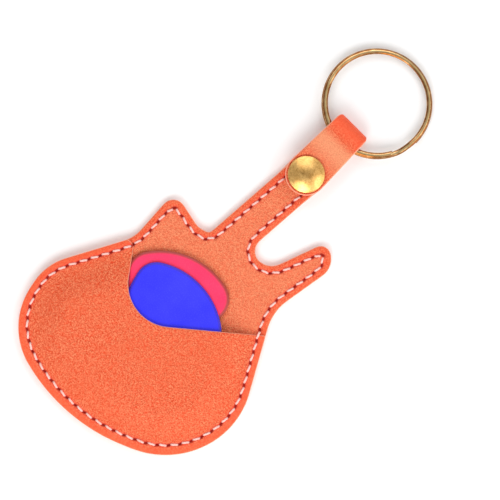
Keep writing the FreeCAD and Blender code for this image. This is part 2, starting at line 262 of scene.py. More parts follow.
def inside(points, loop):
    """Which points lie inside a closed loop."""
    a, b = loop, np.roll(loop, -1, 0)
    slope = (b[:, 0] - a[:, 0]) / np.where(a[:, 1] == b[:, 1], 1e-12, b[:, 1] - a[:, 1])
    found = np.zeros(len(points), bool)
    for i in range(0, len(points), 2000):
        x, y = points[i : i + 2000, 0:1], points[i : i + 2000, 1:2]
        crossed = (a[:, 1] > y) != (b[:, 1] > y)
        found[i : i + 2000] = (crossed & (x < a[:, 0] + (y - a[:, 1]) * slope)).sum(1) % 2 == 1
    return found


def hex_points(low, high, step):
    rows = np.arange(low[1], high[1], step * math.sqrt(0.75))
    columns = np.arange(low[0], high[0], step)
    x, y = np.meshgrid(columns, rows)
    x[1::2] += step / 2
    return np.stack([x.ravel(), y.ravel()], -1)


def ramp(value, start, end):
    """Smooth step from 0 at start to 1 at end."""
    t = np.clip((np.asarray(value, float) - start) / (end - start), 0, 1)
    return t * t * (3 - 2 * t)


# ---------------------------------------------------------------- meshes


def make_object(name, points_mm, faces, attributes=None):
    mesh = bpy.data.meshes.new(name)
    mesh.from_pydata((np.asarray(points_mm) * MM).tolist(), [], faces)
    for key, values in (attributes or {}).items():
        values = np.asarray(values, np.float32)
        kind, field = ("FLOAT_VECTOR", "vector") if values.ndim == 2 else ("FLOAT", "value")
        mesh.attributes.new(key, kind, "POINT").data.foreach_set(field, values.ravel())
    mesh.validate()
    mesh.shade_smooth()
    piece = bpy.data.objects.new(name, mesh)
    bpy.context.scene.collection.objects.link(piece)
    return piece


def finish_piece(piece, slot, material, *nodes):
    """Give a piece its material, and hide the CAD nodes that it stands for. slot is not used."""
    piece.data.materials.append(material)
    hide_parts(*nodes)


def strip_faces(first, second, count):
    """Faces between two rings of vertices that start at these indices."""
    return [[first + i, first + (i + 1) % count, second + (i + 1) % count, second + i] for i in range(count)]


def sheet_piece(name, outline, extra, top, bottom, place=None, edge=EDGE_ROUND, shares=None):
    """A closed sheet with rounded edges, between its top and bottom heights over points in the flat.

    extra are the points inside the outline. place turns flat points with heights into their real position.
    shares are more attributes for the material.
    """
    count = len(outline)
    normal = outward(outline)
    rings = []
    for degrees in EDGE_ANGLES:
        shift = edge * (1 - math.sin(math.radians(degrees)))
        drop = edge * (1 - math.cos(math.radians(degrees)))
        rings.append((outline - normal * shift, drop, degrees / 90))
    inner = rings[0][0]
    margin = line_distance(extra, inner)
    extra = extra[inside(extra, inner) & (margin > HOLE_STEP)]
    flat = np.vstack([inner, extra])
    loop_edges = [(i, (i + 1) % count) for i in range(count)]
    found = delaunay_2d_cdt([Vector(p) for p in flat], loop_edges, [], 0, 1e-7)
    first_input = [ids[0] for ids in found[3]]
    triangles = np.array([[first_input[i] for i in face] for face in found[2]])
    keep = inside(flat[triangles].mean(1), inner)
    triangles = triangles[keep]
    a, b, c = (flat[triangles[:, i]] for i in range(3))
    turn = (b[:, 0] - a[:, 0]) * (c[:, 1] - a[:, 1]) - (b[:, 1] - a[:, 1]) * (c[:, 0] - a[:, 0])
    triangles[turn < 0] = triangles[turn < 0][:, ::-1]

    layers = [(flat, top(flat), 0.0)]
    layers += [(ring, top(ring) - drop, share) for ring, drop, share in rings[1:]]
    layers += [(ring, bottom(ring) + drop, share) for ring, drop, share in rings[:0:-1]]
    layers += [(flat, bottom(flat), 0.0)]
    points, edges, starts = [], [], []
    for plan, height, share in layers:
        starts.append(sum(len(p) for p in points))
        points.append(np.column_stack([plan, height]))
        edges.append(np.full(len(plan), share))
    points = np.vstack(points)
    edges = np.concatenate(edges)
    faces = [list(t) for t in triangles]
    for first, second in zip(starts, starts[1:]):
        faces += [face[::-1] for face in strip_faces(first, second, count)]
    faces += [[starts[-1] + i for i in t[::-1]] for t in triangles]
    attributes = {"flat": points, "edge": edges}
    attributes |= {key: measure(points) for key, measure in (shares or {}).items()}
    placed = place(points) if place else points
    return make_object(name, placed, faces, attributes)


def lathe_piece(name, profile, centre):
    """A piece turned from (radius, height) points, which close on themselves or end on the axis."""
    x, y = centre
    turns = [2 * math.pi * k / TURNED_SIDES for k in range(TURNED_SIDES)]
    points, faces, starts = [], [], []
    for radius, height in profile:
        starts.append(len(points))
        if radius == 0:
            points.append((x, y, height))
        else:
            points += [(x + radius * math.cos(turn), y + radius * math.sin(turn), height) for turn in turns]
    pairs = list(zip(range(len(profile)), range(1, len(profile))))
    if profile[0][0] > 0:
        pairs.append((len(profile) - 1, 0))
    for i, j in pairs:
        a, b = starts[i], starts[j]
        if profile[i][0] == 0:
            faces += [[a, b + (k + 1) % TURNED_SIDES, b + k] for k in range(TURNED_SIDES)]
        elif profile[j][0] == 0:
            faces += [[a + k, a + (k + 1) % TURNED_SIDES, b] for k in range(TURNED_SIDES)]
        else:
            faces += strip_faces(a, b, TURNED_SIDES)
    return make_object(name, points, faces)


def rounded_profile(corners):
    """(radius, height, rounding) corners of a closed profile, as points with each corner rounded."""
    points = []
    count = len(corners)
    for i, (radius, height, rounding) in enumerate(corners):
        at = np.array([radius, height])
        before = np.array(corners[i - 1][:2]) - at
        after = np.array(corners[(i + 1) % count][:2]) - at
        reach = min(rounding, np.linalg.norm(before) / 2, np.linalg.norm(after) / 2)
        start = at + before / np.linalg.norm(before) * reach
        end = at + after / np.linalg.norm(after) * reach
        for k in range(CORNER_STEPS + 1):
            t = k / CORNER_STEPS
            point = start * (1 - t) ** 2 + at * 2 * t * (1 - t) + end * t**2
            points.append((float(point[0]), float(point[1])))
    return points


def sweep(path, up, section):
    """Points and faces of a section of (across, up) points, swept along a path and capped at its ends."""
    course = np.gradient(path, axis=0)
    course /= np.linalg.norm(course, axis=1)[:, None]
    across = np.cross(course, up)
    across /= np.linalg.norm(across, axis=1)[:, None]
    ups = np.cross(across, course)
    points = path[:, None] + across[:, None] * section[None, :, 0:1] + ups[:, None] * section[None, :, 1:2]
    count, size = len(path), len(section)
    faces = []
    for i in range(count - 1):
        faces += strip_faces(i * size, (i + 1) * size, size)
    faces.append(list(range(size))[::-1])
    faces.append([(count - 1) * size + i for i in range(size)])
    return points.reshape(-1, 3), faces


# ---------------------------------------------------------------- materials


class Surface:
    """A node material, built by calls that each add one node."""

    def __init__(self, name):
        self.material = bpy.data.materials.new(name)
        self.material.use_nodes = True
        self.tree = self.material.node_tree
        self.shader = self.tree.nodes["Principled BSDF"]

    def add(self, kind, inputs=None, **settings):
        node = self.tree.nodes.new(kind)
        for key, value in settings.items():
            setattr(node, key, value)
        for key, value in (inputs or {}).items():
            self.put(node.inputs[key], value)
        return node

    def put(self, socket, value):
        if isinstance(value, bpy.types.NodeSocket):
            self.tree.links.new(value, socket)
        elif hasattr(socket.default_value, "__len__") and len(value) == 3 and len(socket.default_value) == 4:
            socket.default_value = (*value, 1.0)
        else:
            socket.default_value = value

    def set(self, **inputs):
        for key, value in inputs.items():
            self.put(self.shader.inputs[key.replace("_", " ")], value)

    def attribute(self, name):
        return self.add("ShaderNodeAttribute", attribute_name=name)

    def maths(self, operation, a, b, clamp=False):
        return self.add("ShaderNodeMath", {0: a, 1: b}, operation=operation, use_clamp=clamp).outputs[0]

    def vector_maths(self, operation, inputs):
        return self.add("ShaderNodeVectorMath", inputs, operation=operation).outputs[0]

    def mix(self, share, a, b):
        """Colour a, turning into colour b as share goes from 0 to 1."""
        node = self.add("ShaderNodeMix", data_type="RGBA")
        colours = [socket for socket in node.inputs if socket.type == "RGBA"]
        self.put(node.inputs["Factor"], share)
        self.put(colours[0], a)
        self.put(colours[1], b)
        return next(socket for socket in node.outputs if socket.type == "RGBA")

    def noise(self, where, scale, detail=2.0, rough=0.5):
        inputs = {"Vector": where, "Scale": scale, "Detail": detail, "Roughness": rough}
        return self.add("ShaderNodeTexNoise", inputs).outputs["Fac"]

    def wander(self, where, scale):
        """A small wandering offset, in millimetres."""
        node = self.add("ShaderNodeTexNoise", {"Vector": where, "Scale": scale, "Detail": 2.0})
        centred = self.vector_maths("SUBTRACT", {0: node.outputs["Color"], 1: (0.5, 0.5, 0.5)})
        return self.vector_maths("SCALE", {0: centred, "Scale": 0.5})

    def cells(self, where, scale):
        node = self.add("ShaderNodeTexVoronoi", {"Vector": where, "Scale": scale}, feature="F1")
        return node.outputs["Distance"]

    def range(self, value, low, high, to_low=0.0, to_high=1.0):
        inputs = {"Value": value, "From Min": low, "From Max": high, "To Min": to_low, "To Max": to_high}
        return self.add("ShaderNodeMapRange", inputs).outputs[0]

    def bump(self, height, strength, distance):
        inputs = {"Height": height, "Strength": strength, "Distance": distance}
        return self.add("ShaderNodeBump", inputs).outputs[0]

    def place(self, size=MM):
        """Object coordinates in units of size metres."""
        coordinates = self.add("ShaderNodeTexCoord").outputs["Object"]
        return self.vector_maths("SCALE", {0: coordinates, "Scale": 1 / size})


def leather_material():
    """Soft orange leather: a fine pebble with dark creases, smoother where it is worn, with a painted highlight
    along its rounded edges and painted shade on its sides, in its needle holes, along the seam and over the
    fold.
    """
    s = Surface("orange_leather")
    flat = s.attribute("flat").outputs["Vector"]
    edge = s.attribute("edge").outputs["Fac"]
    hole = s.attribute("hole").outputs["Fac"]
    tone = s.attribute("tone").outputs["Fac"]
    bent = s.vector_maths("ADD", {0: flat, 1: s.wander(flat, 1.2)})
    crease = s.cells(bent, 2.4)
    fine = s.noise(flat, 3.6, 3.0, 0.6)
    speck = s.noise(flat, 2.2, 4.0, 0.75)
    broad = s.noise(flat, 0.09, 3.0)
    pebble = s.maths("SUBTRACT", 1.0, s.range(crease, 0.15, 0.7))
    grain = s.maths("ADD", s.maths("MULTIPLY", pebble, 0.6), s.maths("MULTIPLY", fine, 0.4))
    dull = s.mix(s.range(speck, 0.44, 0.56), (0.72, 0.055, 0.008), (1.0, 0.31, 0.14))
    lit = s.mix(s.range(grain, 0.36, 0.70), (0.74, 0.050, 0.008), (1.0, 0.30, 0.13))
    base = s.mix(0.5, dull, lit)
    toned = s.mix(s.range(broad, 0.3, 0.7, 0.0, 0.3), base, (0.90, 0.12, 0.035))
    # Deeper where tone is above 0: along the margin outside the seam, and as painted shade where the strap
    # turns over the fold.
    deep = s.mix(s.maths("MULTIPLY", tone, 0.62, clamp=True), toned, (0.86, 0.095, 0.030))
    # Paler where tone is below 0: over the lining, and as a painted highlight on the strap next to the cap.
    paler_and_painted_highlight = s.mix(s.maths("MULTIPLY", tone, -0.55, clamp=True), deep, (1.0, 0.50, 0.26))
    # Painted shade in the groove that the thread draws into the seam.
    pull = s.attribute("pull").outputs["Fac"]
    groove_shaded = s.mix(s.maths("MULTIPLY", pull, 0.5, clamp=True), paler_and_painted_highlight, (0.92, 0.075, 0.055))
    # Painted highlight: the rounded edges are made paler, as where light catches them.
    painted = s.mix(s.range(edge, 0.2, 0.5, 0.0, 0.9), groove_shaded, (1.0, 0.46, 0.31))
    # Painted shade: the upright sides are darker, which shows as a dark line under the pocket's mouth.
    side = s.mix(s.range(edge, 0.75, 1.0), painted, (0.80, 0.13, 0.05))
    # Painted shade: the needle holes are near-black red.
    s.set(Base_Color=s.mix(s.maths("MULTIPLY", hole, 0.95), side, (0.36, 0.004, 0.003)))
    s.set(Roughness=s.range(grain, 0.2, 0.9, 0.66, 0.48), Specular_IOR_Level=0.3)
    plain = s.maths("MULTIPLY", s.range(edge, 0.1, 0.6, 1.0, 0.1), s.range(tone, 0.0, 1.0, 1.0, 0.4))
    s.set(Normal=s.bump(s.maths("MULTIPLY", grain, plain), 1.0, 0.27 * MM))
    return s.material


def thread_material():
    s = Surface("sewing_thread")
    where = s.place()
    fibre = s.noise(where, 9.0, 3.0, 0.6)
    patch = s.noise(where, 0.8, 2.0)
    base = s.mix(s.range(fibre, 0.3, 0.7), (0.80, 0.36, 0.31), (0.98, 0.76, 0.70))
    # Pinker in patches, at random.
    pinker_patches = s.mix(s.range(patch, 0.4, 0.75, 0.0, 0.35), base, (0.95, 0.35, 0.28))
    s.set(Base_Color=pinker_patches, Roughness=0.7)
    s.set(Normal=s.bump(fibre, 0.4, 0.05 * MM))
    s.set(Sheen_Weight=0.2)
    return s.material


def brass_material():
    """Antiqued brass: brown tarnish in patches over worn gold."""
    s = Surface("antique_brass")
    where = s.place()
    patch = s.noise(where, 0.5, 4.0, 0.62)
    fine = s.noise(where, 2.4, 5.0, 0.75)
    worn = s.maths("ADD", s.maths("MULTIPLY", patch, 0.45), s.maths("MULTIPLY", fine, 0.55))
    tone = s.mix(s.range(worn, 0.38, 0.62), (0.58, 0.29, 0.07), (1.0, 0.62, 0.215))
    s.set(Base_Color=tone, Metallic=1.0)
    s.set(Roughness=s.range(fine, 0.3, 0.7, 0.26, 0.40))
    s.set(Normal=s.bump(fine, 0.14, 0.05 * MM))
    return s.material


def ring_material():
    """Antique bronze wire, with painted highlights: bright along the middle of its face, dark either side."""
    s = Surface("bronze_wire")
    where = s.place()
    wear = s.attribute("wear").outputs["Fac"]
    patch = s.noise(where, 0.5, 4.0, 0.6)
    fine = s.noise(where, 5.0, 4.0, 0.6)
    # The painted highlight bands, with random patches of tarnish over them.
    worn = s.maths("ADD", wear, s.range(patch, 0.3, 0.7, -0.2, 0.2))
    tone = s.mix(s.range(worn, 0.1, 0.9), (0.30, 0.10, 0.02), (1.0, 0.72, 0.36))
    s.set(Base_Color=tone, Metallic=1.0)
    s.set(Roughness=s.range(fine, 0.3, 0.7, 0.12, 0.20))
    s.set(Normal=s.bump(fine, 0.05, 0.03 * MM))
    return s.material


def steel_material():
    s = Surface("spring_steel")
    where = s.place()
    fine = s.noise(where, 6.0, 4.0, 0.6)
    s.set(Base_Color=s.mix(fine, (0.42, 0.42, 0.44), (0.66, 0.66, 0.68)), Metallic=1.0)
    s.set(Roughness=s.range(fine, 0.3, 0.7, 0.2, 0.38))
    return s.material


def celluloid_material(name, deep, light, rim):
    """Gloss celluloid: faint clouds in the colour, and painted shade darkening its thinner, bevelled rim."""
    s = Surface(name)
    flat = s.attribute("flat").outputs["Vector"]
    edge = s.attribute("edge").outputs["Fac"]
    cloud = s.noise(flat, 0.16, 3.0)
    scuff = s.noise(flat, 2.6, 5.0, 0.75)
    tone = s.mix(s.range(cloud, 0.25, 0.75), deep, light)
    # Painted shade: the colour darkens towards the rim colour over the bevel.
    s.set(Base_Color=s.mix(s.range(edge, 0.02, 0.85, 0.0, 0.92), tone, rim))
    s.set(Roughness=s.range(scuff, 0.3, 0.8, 0.2, 0.34))
    s.set(Normal=s.bump(scuff, 0.03, 0.02 * MM))
    s.set(Specular_IOR_Level=0.25)
    return s.material


def floor_material():
    s = Surface("floor_paper")
    fibre = s.noise(s.place(0.01), 40.0, 4.0, 0.6)
    s.set(Base_Color=s.mix(fibre, (0.95, 0.95, 0.95), (0.98, 0.98, 0.98)), Roughness=0.9)
    return s.material


# ---------------------------------------------------------------- the frame's facts


SNAP = (box_mm("snap_cap")[0] + box_mm("snap_cap")[1])[:2] / 2
FOLD = next(j for j in frame["joints"] if j["name"] == "tongue_fold")
SWING = next(j for j in frame["joints"] if j["name"] == "ring_swing")
FOLD_POS = np.array(FOLD["pos_m"]) / MM
ACROSS = -np.array(FOLD["axis"])[:2]
ALONG = np.array([-ACROSS[1], ACROSS[0]])
FOLD_AT = float((FOLD_POS[:2] - SNAP) @ ALONG)
FOLD_Z = float(FOLD_POS[2])
LEATHER = float(box_mm("back_panel")[1][2])
FOLD_OUTER = float(box_mm("strap_fold")[1][2]) - FOLD_Z
FOLD_MEAN = FOLD_OUTER - LEATHER / 2
FOLD_RUN = math.pi * FOLD_MEAN
RIM_TOP = float(box_mm("pocket_panel")[0][2]) + LEATHER
CROWN = float(box_mm("pocket_panel")[1][2]) - RIM_TOP
NECK_TOP = float(box_mm("lining_panel")[1][2])

UPPER_BARS = stitch_bars("upper_thread")
LOWER_BARS = stitch_bars("bobbin_thread")
HOLES = needle_holes(UPPER_BARS)
HOLE_RUNS = np.gradient(HOLES, axis=0)
HOLE_RUNS /= np.linalg.norm(HOLE_RUNS, axis=1)[:, None]
SEAM = resample_open(HOLES, OUTLINE_STEP)
GUITAR = soften(resample(upper_outlines("lining_panel")[0], OUTLINE_STEP))


def to_strap(points):
    away = np.asarray(points) - SNAP
    return np.stack([away @ ACROSS, away @ ALONG], -1)


def from_strap(points):
    return SNAP + points[:, 0:1] * ACROSS + points[:, 1:2] * ALONG


# ---------------------------------------------------------------- leather


def softness(points, size, height):
    """The gentle unevenness of leather, in bumps of this size and height."""
    return np.array([height * noise.noise(Vector((x / size, y / size, 0.3))) for x, y in points])


def hole_reach(points):
    """Distance from the nearest needle hole, in hole sizes. A hole is a slit, a little askew to the seam."""
    at = nearest(points, HOLES)
    away = points[:, :2] - HOLES[at]
    askew = math.radians(HOLE_SKEW)
    run = HOLE_RUNS[at] @ np.array([[math.cos(askew), math.sin(askew)], [-math.sin(askew), math.cos(askew)]])
    along = (away * run).sum(1)
    aside = away[:, 0] * run[:, 1] - away[:, 1] * run[:, 0]
    return np.hypot(along / HOLE_HALF_LENGTH, aside / HOLE_HALF_WIDTH)


def seam_relief(points):
    """How far the thread pulls the leather down: a groove, and a slit at each needle hole."""
    groove = GROOVE_SINK * np.exp(-((line_distance(points, SEAM, closed=False) / GROOVE_WIDTH) ** 2))
    slit = HOLE_SINK * np.exp(-(hole_reach(points) ** 3))
    return groove + slit


def hole_shade_share(points):
    """1 in a needle hole, where the hole's shade is painted in, and 0 outside it."""
    return np.exp(-((hole_reach(points) / 1.05) ** 4))


def groove_shade_share(points):
    """1 on the seam, where the thread draws the leather in and the groove's shade is painted in, and 0 a
    millimetre away.
    """
    return np.exp(-((line_distance(points, SEAM, closed=False) / 0.6) ** 2))


def margin_share(points):
    """1 on the strip of leather outside the seam, falling to 0 just inside it."""
    return ramp(line_distance(points, GUITAR), 2.3, 1.5)


def lining_tone(points):
    """The lining is paler than the pocket, except along its margin."""
    return 0.75 * margin_share(points) - 0.3


def spread(low, high, seam, holes=None):
    """Points for a sheet: close together near the seam, and closer still at the holes."""
    coarse = hex_points(low, high, COARSE_STEP)
    kept = [coarse[line_distance(coarse, seam, closed=False) > FINE_REACH]]
    fine = hex_points(low, high, FINE_STEP)
    fine = fine[line_distance(fine, seam, closed=False) <= FINE_REACH]
    if holes is None:
        return np.vstack(kept + [fine])
    kept.append(fine[point_distance(fine, holes) > HOLE_REACH])
    finest = np.vstack([hex_points(hole - HOLE_REACH, hole + HOLE_REACH, HOLE_STEP) for hole in holes])
    finest = finest[point_distance(finest, holes) <= HOLE_REACH - HOLE_STEP / 2]
    return np.vstack(kept + [finest])


def flat_face(points):
    """The height of the back panel's inner face and, before it is folded over, of the strap's."""
    return np.full(len(points), LEATHER)


def lining_piece(leather):
    extra = spread(GUITAR.min(0), GUITAR.max(0), SEAM, HOLES)
    shares = {"hole": hole_shade_share, "tone": lining_tone, "pull": groove_shade_share}

    def top(points):
        worn = 0.1 * ramp(line_distance(points, GUITAR), 1.3, 0.2)
        return NECK_TOP - seam_relief(points) - worn + softness(points, 9.0, 0.03)

    piece = sheet_piece("lining_leather", GUITAR, extra, top, flat_face, shares=shares)
    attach(piece, "holder")
    finish_piece(piece, "leather", leather, "lining_panel")


def pocket_piece(leather):
    outline = soften(resample(upper_outlines("pocket_panel")[0], OUTLINE_STEP))
    extra = spread(outline.min(0), outline.max(0), SEAM, HOLES)
    shares = {"hole": hole_shade_share, "tone": margin_share, "pull": groove_shade_share}

    def top(points):
        edge = line_distance(points, GUITAR)
        crown = CROWN * ramp(edge, CROWN_FROM, CROWN_TO)
        worn = 0.14 * ramp(edge, 1.5, 0.2)
        return RIM_TOP + crown - seam_relief(points) - worn + softness(points, 11.0, 0.06)

    def bottom(points):
        """It rises sooner than the top does, to clear the picks, so the leather is thinner there."""
        edge = line_distance(points, GUITAR)
        return NECK_TOP + CROWN * (0.53 * ramp(edge, 2.9, 6.0) + 0.47 * ramp(edge, 6.5, 11.2))

    piece = sheet_piece("pocket_leather", outline, extra, top, bottom, shares=shares)
    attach(piece, "holder")
    finish_piece(piece, "leather", leather, "pocket_panel")


def right_corner(outline):
    """Which point of an outline is the right-hand corner of its end at the fold."""
    return int(np.argmax(outline[:, 1] + outline[:, 0] * 1e-3))


def strap_outline():
    """The back and the whole strap in the flat, in the strap's axes, before it is folded over."""
    back = to_strap(upper_outlines("back_panel")[0])
    back = np.roll(back, -right_corner(back) - 1, 0)
    tongue = to_strap(upper_outlines("strap_tongue")[0])
    tongue = np.roll(tongue[::-1], right_corner(tongue) + 1, 0)
    unrolled = np.stack([tongue[:, 0], 2 * FOLD_AT + FOLD_RUN - tongue[:, 1]], -1)
    fold = to_strap(cad_triangles("strap_fold")[0][:, :2])
    end_half = float(back[-1, 0])
    tip_half = float(np.abs(fold[fold[:, 1] > fold[:, 1].max() - 0.05][:, 0]).max())
    angles = np.linspace(0, math.pi, 25)[1:-1]
    corner = np.clip(np.sin(angles) * FOLD_OUTER - FOLD_OUTER + 1.0, 0, 1)
    halves = end_half + (tip_half - end_half) * np.sin(angles) - FOLD_CORNER * corner**2.5
    right = np.stack([halves, FOLD_AT + angles * FOLD_MEAN], -1)
    left = right[::-1] * [-1, 1]
    return np.vstack([back, right, unrolled, left])


def fold_over(points):
    """Flat strap points with heights, from the back's outer face, to where the folded strap holds them."""
    run, height = points[:, 1], points[:, 2]
    radius = FOLD_OUTER - height
    angle = np.clip((run - FOLD_AT) / FOLD_MEAN, 0, math.pi)
    past = np.clip(run - FOLD_AT - FOLD_RUN, 0, None)
    along = np.minimum(run, FOLD_AT) + radius * np.sin(angle) - past
    z = FOLD_Z - radius * np.cos(angle)
    plan = from_strap(np.stack([points[:, 0], along], -1))
    return np.column_stack([plan, z])


def strap_piece(leather):
    """The back panel and the strap, one piece of leather that turns over at the fold."""
    outline = soften(resample(strap_outline(), OUTLINE_STEP))
    seam = to_strap(SEAM)
    cap_flat = np.array([[0.0, 2 * FOLD_AT + FOLD_RUN]])
    cap_low, cap_high = box_mm("snap_cap")
    cap_r = (cap_high[0] - cap_low[0]) / 2
    low, high = outline.min(0), outline.max(0)
    strap_from = FOLD_AT - 6.0
    back = spread(low, high, seam)
    strap = hex_points((low[0] / 2, strap_from), (high[0] / 2, high[1]), OUTLINE_STEP)
    extra = np.vstack([back[back[:, 1] < strap_from], strap])

    def outer(points):
        """The back's and the strap's outer face: grooved for the thread, and pressed in round the cap."""
        ditch = 0.42 * np.exp(-((line_distance(points, seam, closed=False) / 0.5) ** 4))
        press = 0.3 * ramp(point_distance(points, cap_flat), cap_r + 0.9, cap_r - 0.1)
        wave = softness(points, 7.0, 0.04) * ramp(points[:, 1], FOLD_AT, FOLD_AT + 1.0)
        return ditch + press + np.abs(wave)

    def tone(points):
        """Painted shade where the strap turns down over the fold, and a painted highlight on the strap next to
        the cap.
        """
        # Painted shade, strongest at the middle of the fold.
        fold_painted_shade = ramp(np.abs(points[:, 1] - FOLD_AT - FOLD_RUN / 2), 9.0, 3.0)
        # Painted highlight on the flat strap beside the cap.
        strap_painted_highlight = 0.85 * np.exp(-(((points[:, 1] - FOLD_AT - FOLD_RUN - 5.6) / 4.6) ** 2))
        return 1.4 * fold_painted_shade - strap_painted_highlight

    piece = sheet_piece(
        "back_and_strap_leather", outline, extra, flat_face, outer, place=fold_over, edge=STRAP_EDGE_ROUND,
        shares={"tone": tone},
    )
    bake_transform(piece)
    finish_piece(piece, "leather", leather, "back_panel", "strap_fold", "strap_tongue")


# ---------------------------------------------------------------- thread


def stitch_mesh(start, end, surface, sink, lift, radius):
    """One stitch of three-ply thread: up from its needle hole, along the leather and down again."""
    run = end - start
    length = np.linalg.norm(run)
    run = run / length
    side = np.array([-run[1], run[0]])
    points, faces = [], []
    for i in range(STITCH_RINGS):
        t = i / (STITCH_RINGS - 1)
        bow = 1 - abs(2 * t - 1) ** 4
        centre = start + run * length * t + side * THREAD_SLANT * (1 - 2 * t)
        z = surface - sink + (sink + lift) * bow
        slope = -8 * np.sign(2 * t - 1) * abs(2 * t - 1) ** 3 * (sink + lift) / length
        tangent = np.array([run[0], run[1], slope])
        tangent /= np.linalg.norm(tangent)
        across = np.array([side[0], side[1], 0.0])
        up = np.cross(tangent, across)
        for k in range(STITCH_SIDES):
            angle = 2 * math.pi * k / STITCH_SIDES
            ply = 1 + 0.13 * math.cos(3 * angle - 9.0 * t)
            reach = radius * ply
            offset = across * math.cos(angle) * reach * 1.08 + up * math.sin(angle) * reach * 0.85
            points.append(np.array([centre[0], centre[1], z]) + offset)
    for first in range(0, (STITCH_RINGS - 1) * STITCH_SIDES, STITCH_SIDES):
        faces += [face[::-1] for face in strip_faces(first, first + STITCH_SIDES, STITCH_SIDES)]
    faces.append(list(range(STITCH_SIDES)))
    faces.append(list(range(len(points) - STITCH_SIDES, len(points)))[::-1])
    return points, faces


def thread_piece(name, bars, thread, node, under):
    """All the stitches of one thread, lying on the leather or, under it, in the groove of the back."""
    holes = needle_holes(bars)
    points, faces = [], []
    for i, bar in enumerate(bars):
        run = (holes[i + 1] - holes[i]) / np.linalg.norm(holes[i + 1] - holes[i])
        start, end = holes[i] + run * THREAD_START, holes[i + 1] - run * THREAD_START
        if under:
            stitch = stitch_mesh(start, end, 0.5, sink=-0.2, lift=-0.25, radius=BOBBIN_R)
        else:
            stitch = stitch_mesh(start, end, bar[2] - GROOVE_SINK, sink=0.4, lift=0.2, radius=THREAD_R)
        faces += [[len(points) + k for k in face] for face in stitch[1]]
        points += stitch[0]
    piece = make_object(name, points, faces)
    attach(piece, "holder")
    finish_piece(piece, "thread", thread, node)


# ---------------------------------------------------------------- snap fastener


def turned_box(node):
    """The outer radius of a turned node, and the heights of its foot and its top."""
    low, high = box_mm(node)
    return float((high[0] - low[0]) / 2), float(low[2]), float(high[2])


def cap_piece(brass):
    """A domed cap with a rolled rim and, through the strap, the shank that holds it, spread at its foot."""
    radius, foot, top = turned_box("snap_cap")
    seat = float(box_mm("strap_tongue")[1][2])
    roll = 0.45
    rim = radius - roll
    rise = top - seat - roll
    dome_r = (rim**2 + rise**2) / (2 * rise)
    profile = [(0.0, top)]
    for i in range(1, 17):
        angle = math.asin(rim / dome_r) * i / 16
        profile.append((dome_r * math.sin(angle), top - dome_r * (1 - math.cos(angle))))
    for i in range(1, 9):
        angle = math.radians(75 - 165 * i / 8)
        profile.append((radius - 0.28 + 0.28 * math.cos(angle), seat + 0.2 + 0.25 * math.sin(angle)))
    profile += [(radius - 0.5, seat - 0.12), (RIVET_R, seat - 0.12), (RIVET_R, foot + 0.25)]
    profile += [(1.75, foot + 0.2), (1.8, foot + 0.1), (1.7, foot + 0.02), (0.0, foot)]
    piece = lathe_piece("snap_cap_dome", profile, SNAP)
    for vertex in piece.data.vertices:
        away = Vector((vertex.co.x / MM - SNAP[0], vertex.co.y / MM - SNAP[1], 0))
        if vertex.co.z / MM > seat + roll and away.length < rim:
            vertex.co.z += MM * 0.035 * noise.noise(away * 0.55 + Vector((3, 1, 0)))
    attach(piece, "tongue")
    finish_piece(piece, "antique_brass", brass, "snap_cap")


def turned_piece(name, corners, body, brass, node):
    piece = lathe_piece(name, rounded_profile(corners), SNAP)
    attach(piece, body)
    finish_piece(piece, "antique_brass", brass, node)


def turned_pieces(brass):
    """The socket under the strap, the stud on the neck and the post through it, with rounded edges."""
    outer, foot, top = turned_box("snap_socket")
    lip, shoulder = foot + 0.15, foot + 0.7
    socket = [
        (SOCKET_MOUTH_R, foot, 0.1), (outer - 0.35, foot, 0.2), (outer, foot + 0.4, 0.25),
        (outer, top - 0.3, 0.2), (outer - 0.3, top, 0.1), (RIVET_R, top, 0.05), (RIVET_R, top - 0.3, 0.05),
        (SOCKET_MOUTH_R, top - 0.3, 0.1), (SOCKET_MOUTH_R, shoulder, 0.05), (SOCKET_GROOVE_R, shoulder, 0.1),
        (SOCKET_GROOVE_R, lip, 0.1), (SOCKET_MOUTH_R, lip, 0.05),
    ]
    turned_piece("snap_socket_cup", socket, "tongue", brass, "snap_socket")
    flange, foot, top = turned_box("snap_stud")
    stud = [
        (POST_R, foot, 0.05), (flange, foot, 0.1), (flange, foot + 0.4, 0.15), (2.1, foot + 0.4, 0.1),
        (STUD_WAIST_R, foot + 0.6, 0.1), (STUD_WAIST_R, foot + 1.1, 0.15), (STUD_BULB_R, foot + 1.45, 0.2),
        (2.0, top, 0.15), (POST_R, top, 0.05),
    ]
    turned_piece("snap_stud_bulb", stud, "holder", brass, "snap_stud")
    flange, foot, top = turned_box("snap_post")
    post = [
        (POST_BORE_R, foot, 0.15), (flange, foot, 0.1), (flange, foot + 0.4, 0.2), (POST_R, foot + 0.4, 0.1),
        (POST_R, top - 0.2, 0.05), (POST_ROLL_R, top - 0.2, 0.08), (POST_ROLL_R, top, 0.1),
        (POST_BORE_R, top, 0.15),
    ]
    turned_piece("snap_post_rivet", post, "holder", brass, "snap_post")


# ---------------------------------------------------------------- split ring


def ring_step(away, height):
    """The angles from across, in degrees, between which the wire steps from the lower to the upper coil."""
    angle = np.degrees(np.arctan2(away[:, 1], away[:, 0]))
    lower = np.sort(angle[height < height.min() + 0.02])
    upper = np.sort(angle[height > height.max() - 0.02])
    return float(lower[np.argmax(np.diff(lower))]), float(upper[np.argmax(np.diff(upper)) + 1])


